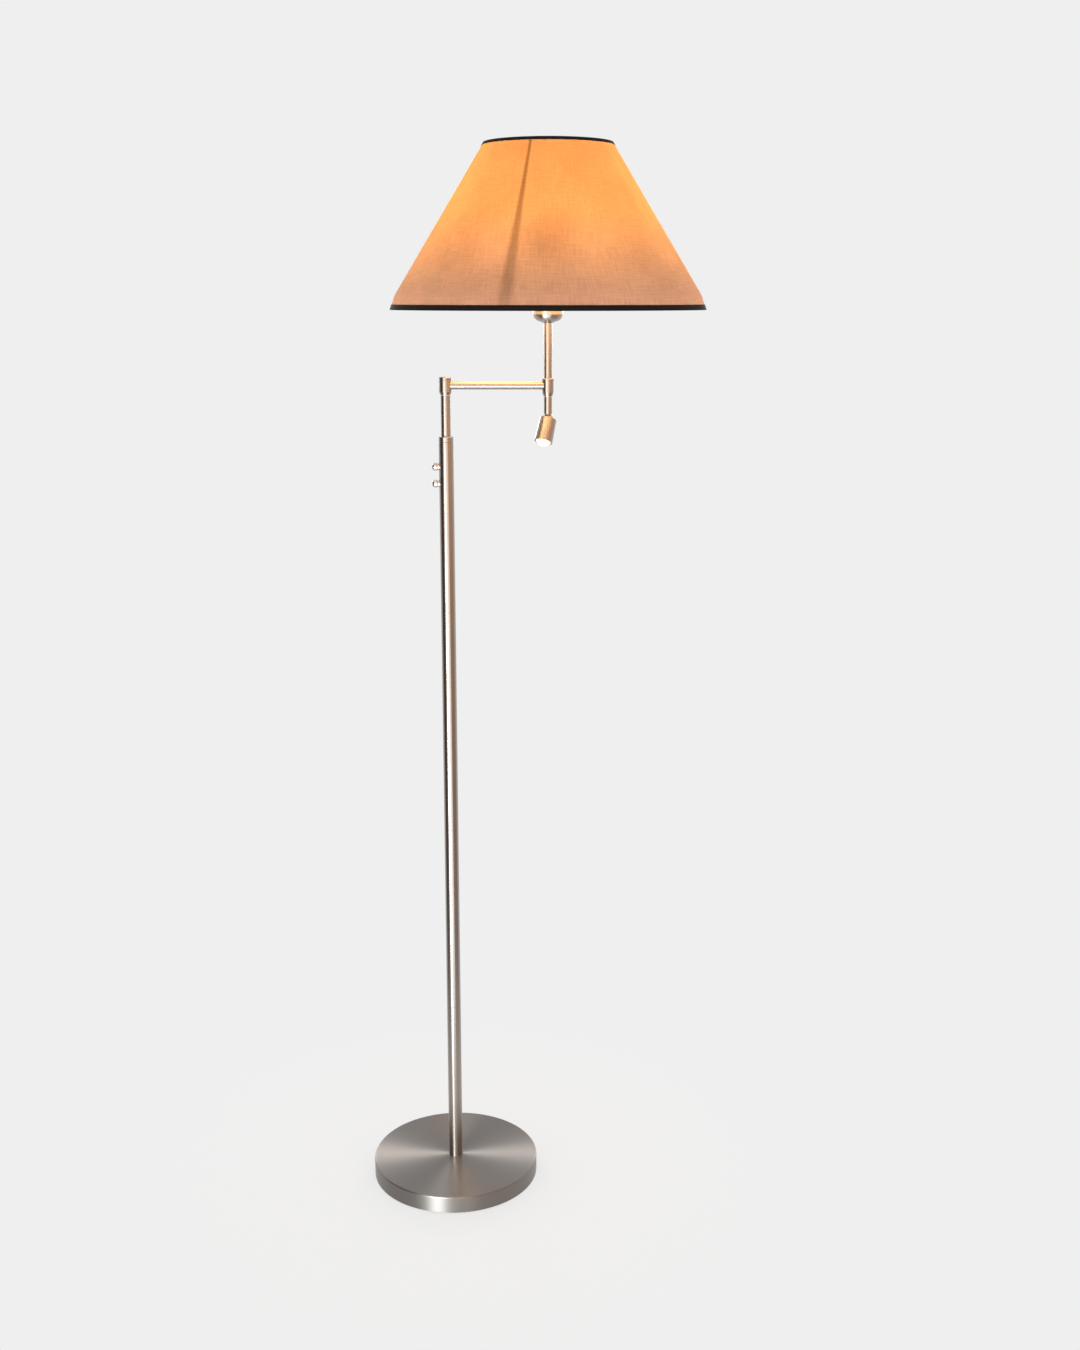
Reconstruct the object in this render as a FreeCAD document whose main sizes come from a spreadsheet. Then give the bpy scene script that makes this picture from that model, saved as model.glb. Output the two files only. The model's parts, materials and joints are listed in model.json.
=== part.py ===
import FreeCAD, Part
import Sketcher
import math
import os
import re
from FreeCAD import Placement, Rotation, Vector

# Bridge floor lamp: a round weighted base, a two-section pole, a swinging arm and, on its
# far end, a rod that carries the fabric shade above and a small reading light below.
# Frame: origin on the floor at the pole's axis, +Z up, the arm runs along +X, millimetres.

SIZES = {
    # base
    "base_diameter": 265.0,
    "base_height": 28.0,
    "base_sheet": 1.2,
    "base_edge": 2.2,
    "skirt_lift": 1.5,
    "pad_margin": 7.5,
    "pad_thickness": 3.0,
    "weight_gap": 0.6,
    "recess_diameter": 44.0,
    "recess_depth": 12.5,
    "channel_width": 15.0,
    "channel_depth": 17.0,
    "stud_diameter": 10.0,
    "stud_bore": 6.5,
    "stud_length": 46.0,
    "nut_flats": 17.0,
    "nut_height": 6.0,
    "washer_diameter": 32.0,
    "washer_thickness": 1.5,
    "gland_bore": 7.0,
    "gland_body": 10.0,
    "gland_flange": 14.0,
    "gland_flange_thickness": 2.0,
    "gland_height": 12.0,
    # pole and mast
    "pole_diameter": 22.0,
    "pole_wall": 1.0,
    "lower_length": 946.0,
    "upper_length": 216.0,
    "plug_length": 30.0,
    "joiner_length": 80.0,
    "joiner_bore": 12.0,
    "collar_height": 8.0,
    "collar_spigot": 20.0,
    "collar_groove": 0.5,
    "mast_diameter": 14.5,
    "mast_wall": 1.0,
    "mast_reach": 60.0,
    "mast_plug_length": 16.0,
    "screw_diameter": 3.0,
    "screw_length": 3.6,
    # swinging arm and its hubs
    "spindle_diameter": 8.0,
    "spindle_bore": 5.0,
    "friction_washer": 0.5,
    "elbow_diameter": 18.6,
    "elbow_height": 22.0,
    "elbow_taper": 4.5,
    "cap_height": 3.5,
    "arm_above": 14.0,
    "arm_diameter": 12.0,
    "arm_wall": 1.0,
    "arm_reach": 150.0,
    "spigot_bore": 6.0,
    "spigot_length": 9.0,
    "rod_hub_diameter": 17.0,
    "rod_hub_height": 25.8,
    "rod_hub_drop": 16.0,
    "rod_hub_taper": 5.5,
    "lip_height": 2.6,
    "lip_proud": 0.5,
    # rods
    "rod_diameter": 12.0,
    "lower_rod_length": 24.7,
    "upper_rod_length": 78.7,
    "thread_depth": 13.0,
    # socket cup and lampholder
    "cup_diameter": 44.0,
    "cup_height": 30.0,
    "cup_sheet": 1.0,
    "cup_neck": 13.0,
    "cup_cone": 24.0,
    "cup_cone_rise": 2.2,
    "cup_bend_height": 12.5,
    "cup_bend_radius": 12.0,
    "nipple_length": 34.0,
    "holder_diameter": 39.0,
    "holder_cap_height": 24.0,
    "holder_height": 56.0,
    "holder_wall": 4.0,
    "shell_diameter": 28.6,
    "shell_wall": 0.5,
    "shell_height": 25.0,
    "shade_nut_diameter": 55.0,
    "shade_nut_height": 7.5,
    "shade_nut_level": 32.0,
    # bulb
    "bulb_cap_diameter": 26.4,
    "bulb_cap_height": 24.0,
    "bulb_diameter": 60.0,
    "bulb_neck": 24.0,
    "bulb_height": 82.0,
    "bulb_wall": 1.0,
    # shade
    "shade_bottom": 1380.0,
    "shade_height": 230.0,
    "shade_bottom_diameter": 456.0,
    "shade_knee_height": 20.0,
    "shade_knee_diameter": 443.0,
    "shade_top_diameter": 184.0,
    "liner_thickness": 1.0,
    "fabric_thickness": 0.6,
    "top_wire": 3.2,
    "bottom_wire": 4.5,
    "trim_thickness": 0.6,
    "bottom_trim_height": 7.5,
    "top_trim_height": 4.5,
    "carrier_plate": 1.5,
    "carrier_ring_width": 12.0,
    "spoke_diameter": 4.0,
    # reading light
    "ball_diameter": 19.0,
    "ball_neck": 9.0,
    "ball_drop": 9.9,
    "ball_stem_length": 12.0,
    "spot_back_diameter": 25.0,
    "spot_mouth_diameter": 27.0,
    "spot_reach": 33.0,
    "spot_rim_rise": 4.2,
    "spot_wall": 1.4,
    "spot_tilt": 26.0,
    "spot_bearing": 242.0,
    "seat_height": 4.0,
    "board_thickness": 1.6,
    "reflector_depth": 8.0,
    "lens_rise": 6.0,
    "lens_flange": 1.2,
    "lens_ring_height": 1.4,
    # dimmers
    "dimmer_drop": 36.0,
    "dimmer_pitch": 25.0,
    "dimmer_width": 12.0,
    "dimmer_depth": 14.0,
    "bushing_diameter": 7.0,
    "dimmer_nut_diameter": 10.0,
    "dimmer_nut_height": 2.3,
    "knob_diameter": 12.0,
    "knob_length": 7.8,
    "knob_nose": 4.6,
    "shaft_diameter": 4.0,
    # fits
    "slip_fit": 0.05,
    "running_fit": 0.05,
    "seat_gap": 0.3,
    "glue_gap": 0.15,
}

# the shade wall's slopes: across per unit of height, below and above its knee
KNEE_SLOPE = "((shade_bottom_diameter - shade_knee_diameter) / 2 / shade_knee_height)"
CONE_SLOPE = "((shade_knee_diameter - shade_top_diameter) / 2 / (shade_height - shade_knee_height))"

# heights up the lamp, as sums of the sizes above
POLE_JOINT = "(base_height + lower_length)"
TUBE_TOP = "(base_height + lower_length + upper_length)"
POLE_TOP = "(base_height + lower_length + upper_length + collar_height)"
MAST_TOP = f"({POLE_TOP} + mast_reach)"
ELBOW_FOOT = f"({MAST_TOP} + friction_washer)"
ELBOW_TOP = f"({ELBOW_FOOT} + elbow_height)"
ARM_LEVEL = f"({ELBOW_FOOT} + arm_above)"
ROD_HUB_FOOT = f"({ARM_LEVEL} - rod_hub_drop)"
ROD_HUB_TOP = f"({ROD_HUB_FOOT} + rod_hub_height)"
LOWER_ROD_FOOT = f"({ROD_HUB_FOOT} - friction_washer - lower_rod_length)"
UPPER_ROD_FOOT = f"({ROD_HUB_TOP} + friction_washer)"
CUP_FOOT = f"({UPPER_ROD_FOOT} + upper_rod_length)"
HOLDER_FOOT = f"({CUP_FOOT} + cup_sheet)"
CARRIER_LEVEL = f"({HOLDER_FOOT} + shade_nut_level + shade_nut_height)"
BULB_FOOT = f"({HOLDER_FOOT} + holder_height - shell_height)"
BALL_LEVEL = f"({LOWER_ROD_FOOT} - ball_drop)"
UPPER_DIMMER = f"({TUBE_TOP} - dimmer_drop)"
LOWER_DIMMER = f"({UPPER_DIMMER} - dimmer_pitch)"
POLE_BORE = "(pole_diameter - 2 * pole_wall)"
COVER_BORE = "(base_diameter - 2 * base_sheet)"

doc = FreeCAD.newDocument("BridgeFloorLamp")
sheet = doc.addObject("Spreadsheet::Sheet", "Sizes")
for row, (name, size) in enumerate(SIZES.items(), start=1):
    sheet.set(f"A{row}", name)
    sheet.set(f"B{row}", str(size))
    sheet.setAlias(f"B{row}", name)
doc.recompute()

nodes = {}


def amount(text):
    """The number that an expression in the sheet's aliases gives now."""
    return float(sheet.evalExpression(str(text)))


def linked(text):
    """The same expression as another object of the document has to write it."""
    return re.sub(r"[a-z_]+", lambda word: "Sizes." + word.group() if word.group() in SIZES else word.group(), str(text))


def bind(thing, **properties):
    """Binds properties to expressions; a double underscore stands for a dot."""
    for path, text in properties.items():
        thing.setExpression(path.replace("__", "."), linked(text))


def place(thing, x="0", y="0", z="0", turn=None):
    if turn is not None:
        thing.Placement = Placement(Vector(), turn)
    for axis, text in zip("xyz", (x, y, z)):
        if str(text) != "0":
            thing.setExpression(f"Placement.Base.{axis}", linked(text))


def keep(thing, label):
    """Names a finished sub-part and lists it for export."""
    thing.Label = label
    nodes[label] = thing
    return thing


def plane_of(body, role):
    return next(feature for feature in body.Origin.OriginFeatures if feature.Role == role)


def outline(body, role, points, name):
    """A closed, fully dimensioned outline. A point may carry the radius of an arc that leaves it,
    positive for counter-clockwise, and every size is an expression."""
    sketch = body.newObject("Sketcher::SketchObject", name)
    sketch.AttachmentSupport = (plane_of(body, role), [""])
    sketch.MapMode = "FlatFace"
    count = len(points)
    ends = []
    for index, point in enumerate(points):
        following = points[(index + 1) % count]
        start = Vector(amount(point[0]), amount(point[1]), 0)
        finish = Vector(amount(following[0]), amount(following[1]), 0)
        if len(point) < 3:
            sketch.addGeometry(Part.LineSegment(start, finish))
            ends.append((1, 2))
            continue
        radius = amount(point[2])
        ends.append((1, 2) if radius > 0 else (2, 1))
        if radius < 0:
            start, finish = finish, start
        chord = finish - start
        side = Vector(-chord.y, chord.x, 0).normalize()
        centre = (start + finish) * 0.5 + side * math.sqrt(max(0.0, radius**2 - chord.Length**2 / 4))
        first = math.atan2(start.y - centre.y, start.x - centre.x)
        last = math.atan2(finish.y - centre.y, finish.x - centre.x)
        sketch.addGeometry(Part.ArcOfCircle(Part.Circle(centre, Vector(0, 0, 1), abs(radius)), first, last))
    for index, point in enumerate(points):
        before = index - 1 if index else count - 1
        start_end = ends[index][0]
        sketch.addConstraint(Sketcher.Constraint("Coincident", before, ends[before][1], index, start_end))
        for kind, axis, text in (("DistanceX", -2, point[0]), ("DistanceY", -1, point[1])):
            if amount(text) == 0:
                sketch.addConstraint(Sketcher.Constraint("PointOnObject", index, start_end, axis))
                continue
            number = sketch.addConstraint(Sketcher.Constraint(kind, -1, 1, index, start_end, amount(text)))
            sketch.setExpression(f"Constraints[{number}]", linked(text))
        if len(point) == 3:
            number = sketch.addConstraint(Sketcher.Constraint("Radius", index, abs(amount(point[2]))))
            sketch.setExpression(f"Constraints[{number}]", linked(str(point[2]).lstrip("-")))
    return sketch


def turned(name, points, x="0", y="0", z="0", turn=None):
    """A body of revolution about its own Z axis, from (radius, height) points above its foot."""
    body = doc.addObject("PartDesign::Body", name)
    sketch = outline(body, "XZ_Plane", points, name + "_profile")
    spin = body.newObject("PartDesign::Revolution", name + "_turned")
    spin.Profile = sketch
    spin.ReferenceAxis = (sketch, ["V_Axis"])
    spin.Angle = 360
    sketch.Visibility = False
    place(body, x, y, z, turn)
    return body


def sleeve(outside, inside, length):
    """Profile points of a plain tube, or of a solid bar where the inside is 0."""
    return [(inside, "0"), (outside, "0"), (outside, length), (inside, length)]


def cylinder(name, radius, height, x="0", y="0", z="0", turn=None):
    tool = doc.addObject("Part::Cylinder", name)
    bind(tool, Radius=radius, Height=height)
    place(tool, x, y, z, turn)
    return tool


def block(name, length, width, height, x="0", y="0", z="0"):
    tool = doc.addObject("Part::Box", name)
    bind(tool, Length=length, Width=width, Height=height)
    place(tool, x, y, z)
    return tool


def cut(name, base, tool):
    result = doc.addObject("Part::Cut", name)
    result.Base = base
    result.Tool = tool
    return result


def fuse(name, *shapes):
    result = doc.addObject("Part::MultiFuse", name)
    result.Shapes = list(shapes)
    return result


ALONG_X = Rotation(Vector(0, 1, 0), 90)
AGAINST_X = Rotation(Vector(0, 1, 0), -90)
ALONG_Y = Rotation(Vector(1, 0, 0), -90)


# ---- base ------------------------------------------------------------------------------------

def make_base():
    rim = "(base_diameter / 2)"
    crown = "(base_height - skirt_lift)"
    cover = turned("base_cover_shell", [
        (f"{rim} - base_sheet", "0"),
        (rim, "0"),
        (rim, f"{crown} - base_edge", "base_edge"),
        (f"{rim} - base_edge", crown),
        ("stud_diameter / 2 + seat_gap", crown),
        ("stud_diameter / 2 + seat_gap", f"{crown} - base_sheet"),
        (f"{rim} - base_sheet", f"{crown} - base_sheet"),
    ], z="skirt_lift")
    inlet = cylinder("inlet_hole", "gland_body / 2 + slip_fit", "base_sheet * 6",
                     y=f"{rim} - base_sheet * 4", z="gland_height", turn=ALONG_Y)
    keep(cut("base_cover_cut", cover, inlet), "base_cover")

    weight_top = "(base_height - base_sheet - pad_thickness)"
    disc = turned("base_weight_disc", [
        ("recess_diameter / 2", "0"),
        (f"{COVER_BORE} / 2 - weight_gap - base_edge", "0"),
        (f"{COVER_BORE} / 2 - weight_gap", "base_edge"),
        (f"{COVER_BORE} / 2 - weight_gap", f"{weight_top} - base_edge"),
        (f"{COVER_BORE} / 2 - weight_gap - base_edge", weight_top),
        ("stud_diameter / 2 + slip_fit", weight_top),
        ("stud_diameter / 2 + slip_fit", "recess_depth"),
        ("recess_diameter / 2", "recess_depth"),
    ], z="pad_thickness")
    channel = block("lead_channel", "channel_width", "base_diameter / 2", "channel_depth",
                    x="-channel_width / 2", y="recess_diameter / 4", z="pad_thickness")
    keep(cut("base_weight_cut", disc, channel), "base_weight")

    pad = turned("base_pad", sleeve(f"{rim} - pad_margin", "0", "pad_thickness"))
    keep(pad, "base_pad")

    washer_level = "(pad_thickness + recess_depth - washer_thickness)"
    keep(turned("stud_washer", sleeve("washer_diameter / 2", "stud_diameter / 2 + slip_fit", "washer_thickness"),
                z=washer_level), "stud_washer")
    keep(turned("pole_stud", sleeve("stud_diameter / 2", "stud_bore / 2", "stud_length"),
                z=f"{washer_level} - nut_height - pad_thickness / 2"), "pole_stud")
    prism = doc.addObject("Part::Prism", "nut_blank")
    prism.Polygon = 6
    bind(prism, Circumradius="nut_flats / sqrt(3)", Height="nut_height")
    place(prism, z=f"{washer_level} - nut_height")
    thread = cylinder("nut_thread", "stud_diameter / 2 + slip_fit", "nut_height * 3", z=f"{washer_level} - nut_height * 2")
    keep(cut("stud_nut_cut", prism, thread), "stud_nut")

    neck = "(gland_body / 2)"
    flange = "(gland_flange / 2)"
    first = "gland_flange_thickness"
    second = "(gland_flange_thickness + base_sheet + 2 * seat_gap)"
    last = "(2 * gland_flange_thickness + base_sheet + 2 * seat_gap)"
    keep(turned("cord_gland", [
        ("gland_bore / 2", "0"),
        (flange, "0"),
        (flange, first),
        (neck, first),
        (neck, second),
        (flange, second),
        (f"{flange} - gland_flange_thickness / 2", last),
        ("gland_bore / 2", last),
    ], y=f"{rim} - base_sheet - seat_gap - gland_flange_thickness", z="gland_height", turn=ALONG_Y), "cord_gland")


# ---- pole ------------------------------------------------------------------------------------

def make_pole():
    outside = "pole_diameter / 2"
    inside = f"{POLE_BORE} / 2"
    keep(turned("pole_foot_plug", [
        ("stud_diameter / 2 + slip_fit", "0"),
        (f"{inside} - slip_fit", "0"),
        (f"{inside} - slip_fit", "plug_length"),
        ("stud_diameter / 2 + slip_fit", "plug_length"),
    ], z="base_height"), "pole_foot_plug")
    keep(turned("lower_tube", sleeve(outside, inside, "lower_length"), z="base_height"), "lower_tube")
    keep(turned("tube_joiner", sleeve(f"{inside} - slip_fit", "joiner_bore / 2", "joiner_length"),
                z=f"{POLE_JOINT} - joiner_length / 2"), "tube_joiner")

    tube = turned("upper_tube_blank", sleeve(outside, inside, "upper_length"), z=POLE_JOINT)
    holes = []
    for which, level in (("upper", UPPER_DIMMER), ("lower", LOWER_DIMMER)):
        holes.append(cylinder(f"{which}_dimmer_hole", "bushing_diameter / 2 + slip_fit", "pole_diameter / 2 + pole_wall",
                              z=level, turn=AGAINST_X))
    keep(cut("upper_tube_cut", tube, fuse("dimmer_holes", *holes)), "upper_tube")

    bore = "mast_diameter / 2 + slip_fit"
    collar = turned("pole_collar_blank", [
        (bore, "0"),
        (f"{inside} - slip_fit", "0"),
        (f"{inside} - slip_fit", "collar_spigot"),
        (f"{outside} - collar_groove", "collar_spigot"),
        (f"{outside} - collar_groove", "collar_spigot + collar_groove"),
        (outside, "collar_spigot + 2 * collar_groove"),
        (outside, "collar_spigot + collar_height - collar_groove"),
        (f"{outside} - collar_groove", "collar_spigot + collar_height"),
        (bore, "collar_spigot + collar_height"),
    ], z=f"{TUBE_TOP} - collar_spigot")
    grub = cylinder("collar_screw_hole", "screw_diameter / 2 + slip_fit", "pole_diameter",
                    z=f"{TUBE_TOP} + collar_height / 2", turn=ALONG_Y)
    keep(cut("pole_collar_cut", collar, grub), "pole_collar")
    keep(turned("collar_screw", sleeve("screw_diameter / 2", "0", f"{outside} - mast_diameter / 2 - collar_groove"),
                y="mast_diameter / 2 + slip_fit", z=f"{TUBE_TOP} + collar_height / 2", turn=ALONG_Y), "collar_screw")

    keep(turned("mast_tube", sleeve("mast_diameter / 2", "mast_diameter / 2 - mast_wall",
                                    "collar_spigot + collar_height + mast_reach"),
                z=f"{TUBE_TOP} - collar_spigot"), "mast_tube")
    keep(turned("mast_top_plug", sleeve("mast_diameter / 2 - mast_wall - slip_fit", "spindle_diameter / 2 + slip_fit",
                                        "mast_plug_length"),
                z=f"{MAST_TOP} - mast_plug_length"), "mast_top_plug")


# ---- dimmers ---------------------------------------------------------------------------------

def make_dimmer(which, level):
    face = "(dimmer_depth / 2)"
    case = block(f"dimmer_case_{which}", "dimmer_depth", "dimmer_width", "dimmer_width",
                 x="-dimmer_depth / 2", y="-dimmer_width / 2", z=f"{level} - dimmer_width / 2")
    bushing = cylinder(f"dimmer_bushing_{which}", "bushing_diameter / 2", "pole_diameter / 2 + dimmer_nut_height",
                       z=level, turn=AGAINST_X)
    drilling = cylinder(f"dimmer_drilling_{which}", "shaft_diameter / 2 + running_fit", "pole_diameter", x=f"-{face}",
                        z=level, turn=AGAINST_X)
    keep(cut(f"dimmer_body_{which}_cut", fuse(f"dimmer_solid_{which}", case, bushing), drilling), f"dimmer_body_{which}")

    nut = turned(f"dimmer_nut_blank_{which}", [
        ("bushing_diameter / 2 + slip_fit", "0"),
        ("dimmer_nut_diameter / 2", "0"),
        ("dimmer_nut_diameter / 2", "dimmer_nut_height * 2 - collar_groove"),
        ("dimmer_nut_diameter / 2 - collar_groove", "dimmer_nut_height * 2"),
        ("bushing_diameter / 2 + slip_fit", "dimmer_nut_height * 2"),
    ], x="-(pole_diameter / 2 - dimmer_nut_height)", z=level, turn=AGAINST_X)
    saddle = cylinder(f"nut_saddle_{which}", "pole_diameter / 2", "dimmer_nut_diameter * 2",
                      z=f"{level} - dimmer_nut_diameter")
    keep(cut(f"dimmer_nut_{which}_cut", nut, saddle), f"dimmer_nut_{which}")

    start = "(pole_diameter / 2 + dimmer_nut_height + seat_gap)"
    edge = "(knob_diameter / 2)"
    socket = "(shaft_diameter / 2 + slip_fit)"
    keep(turned(f"dial_knob_{which}", [
        (socket, "0"),
        (f"{edge} - collar_groove", "0"),
        (edge, "collar_groove"),
        (edge, "knob_length - knob_nose", "knob_nose"),
        (f"{edge} - knob_nose", "knob_length"),
        ("0", "knob_length"),
        ("0", "knob_length * 0.7"),
        (socket, "knob_length * 0.7"),
    ], x=f"-{start}", z=level, turn=AGAINST_X), f"dial_knob_{which}")
    keep(turned(f"dial_shaft_{which}",
                sleeve("shaft_diameter / 2", "0", f"{start} + knob_length * 0.7 - {face} - running_fit - slip_fit"),
                x=f"-({face} + running_fit)", z=level, turn=AGAINST_X), f"dial_shaft_{which}")


# ---- arm and its two hubs ---------------------------------------------------------------------

def washers(label, first, second, radius):
    """Two loose friction washers, one under and one over a hub."""
    rings = []
    for number, (x, z) in enumerate((first, second), start=1):
        rings.append(turned(f"{label}_{number}", sleeve(radius, "spindle_diameter / 2 + slip_fit", "friction_washer"), x=x, z=z))
    keep(fuse(f"{label}_pair", *rings), label)


def hub(label, radius, height, taper, foot_radius, lip, x, z, inward, seat):
    """A turned hub with a running bore, a flat seat and a hollow spigot for the arm tube."""
    profile = [
        ("spindle_diameter / 2 + running_fit", "0"),
        (foot_radius, "0"),
        (radius, taper),
    ]
    if lip:
        profile += [
            (radius, f"{height} - lip_height"),
            (f"{radius} + lip_proud", f"{height} - lip_height"),
            (f"{radius} + lip_proud", f"{height} - collar_groove"),
            (f"{radius} + lip_proud - collar_groove", height),
        ]
    else:
        profile += [(radius, height)]
    profile.append(("spindle_diameter / 2 + running_fit", height))
    blank = turned(f"{label}_blank", profile, x=x, z=z)
    turn = ALONG_X if inward > 0 else AGAINST_X
    sign = "+" if inward > 0 else "-"
    facing = cylinder(f"{label}_facing", "arm_diameter / 2 + slip_fit", "elbow_diameter",
                      x=f"{x} {sign} {seat}", z=ARM_LEVEL, turn=turn)
    spigot = cylinder(f"{label}_spigot", "arm_diameter / 2 - arm_wall - slip_fit", f"{seat} - spindle_diameter / 2 + spigot_length",
                      x=f"{x} {sign} spindle_diameter / 2", z=ARM_LEVEL, turn=turn)
    bore = cylinder(f"{label}_bore", "spindle_diameter / 2 + running_fit", height, x=x, z=z)
    passage = cylinder(f"{label}_passage", "spigot_bore / 2", f"{seat} + spigot_length + slip_fit", x=x, z=ARM_LEVEL, turn=turn)
    screw_hole = cylinder(f"{label}_screw_hole", "screw_diameter / 2 + slip_fit", "arm_diameter / 2",
                          x=f"{x} {sign} ({seat} + spigot_length / 2)", z=f"{ARM_LEVEL} - arm_diameter / 2")
    tee = fuse(f"{label}_tee", cut(f"{label}_faced", blank, facing), spigot)
    keep(cut(f"{label}_drilled", tee, fuse(f"{label}_holes", bore, passage, screw_hole)), label)
    return screw_hole


def make_arm():
    elbow_radius = "(elbow_diameter / 2)"
    rod_hub_radius = "(rod_hub_diameter / 2)"
    elbow_seat = "(sqrt(elbow_diameter^2 - arm_diameter^2) / 2 - seat_gap)"
    rod_hub_seat = "(sqrt(rod_hub_diameter^2 - arm_diameter^2) / 2 - seat_gap)"
    hub("elbow_hub", elbow_radius, "elbow_height", "elbow_taper", "mast_diameter / 2", False, "0", ELBOW_FOOT, 1, elbow_seat)
    hub("rod_hub", rod_hub_radius, "rod_hub_height", "rod_hub_taper", "rod_diameter / 2", True, "arm_reach", ROD_HUB_FOOT, -1,
        rod_hub_seat)

    tube = turned("arm_tube_blank", sleeve("arm_diameter / 2", "arm_diameter / 2 - arm_wall",
                                           f"arm_reach - {elbow_seat} - {rod_hub_seat}"),
                  x=elbow_seat, z=ARM_LEVEL, turn=ALONG_X)
    near = f"{elbow_seat} + spigot_length / 2"
    far = f"arm_reach - ({rod_hub_seat} + spigot_length / 2)"
    holes = [cylinder(f"arm_screw_hole_{side}", "screw_diameter / 2 + slip_fit", "arm_diameter / 2", x=x,
                      z=f"{ARM_LEVEL} - arm_diameter / 2 - slip_fit") for side, x in (("near", near), ("far", far))]
    keep(cut("arm_tube_cut", tube, fuse("arm_screw_holes", *holes)), "arm_tube")
    screws = [turned(f"arm_screw_{side}", sleeve("screw_diameter / 2", "0", "arm_diameter / 2 - spigot_bore / 2"), x=x,
                     z=f"{ARM_LEVEL} - arm_diameter / 2") for side, x in (("near", near), ("far", far))]
    keep(fuse("arm_screws_pair", *screws), "arm_screws")

    washers("elbow_washers", ("0", MAST_TOP), ("0", ELBOW_TOP), "mast_diameter / 2")
    cap_foot = f"({ELBOW_TOP} + friction_washer)"
    keep(turned("elbow_cap", [
        ("0", "cap_height"),
        ("0", "cap_height - collar_groove * 2"),
        ("spindle_diameter / 2 + slip_fit", "cap_height - collar_groove * 2"),
        ("spindle_diameter / 2 + slip_fit", "0"),
        (elbow_radius, "0"),
        (elbow_radius, "cap_height - collar_groove * 1.6"),
        (f"{elbow_radius} - collar_groove * 1.6", "cap_height"),
    ], z=cap_foot), "elbow_cap")
    hollow_spindle("elbow_spindle", "0", f"{MAST_TOP} - mast_plug_length",
                   f"{cap_foot} + cap_height - collar_groove * 2 - {MAST_TOP} + mast_plug_length - slip_fit", 1)


def hollow_spindle(label, x, foot, length, inward):
    """The hollow threaded pin that a hub turns on, with a side window where the leads pass into the arm."""
    pin = turned(f"{label}_blank", sleeve("spindle_diameter / 2", "spindle_bore / 2", length), x=x, z=foot)
    window = cylinder(f"{label}_window", "spindle_bore / 2 - seat_gap", "spindle_diameter", x=x, z=ARM_LEVEL,
                      turn=ALONG_X if inward > 0 else AGAINST_X)
    keep(cut(f"{label}_cut", pin, window), label)


# ---- rods, socket cup and lampholder ----------------------------------------------------------

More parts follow.
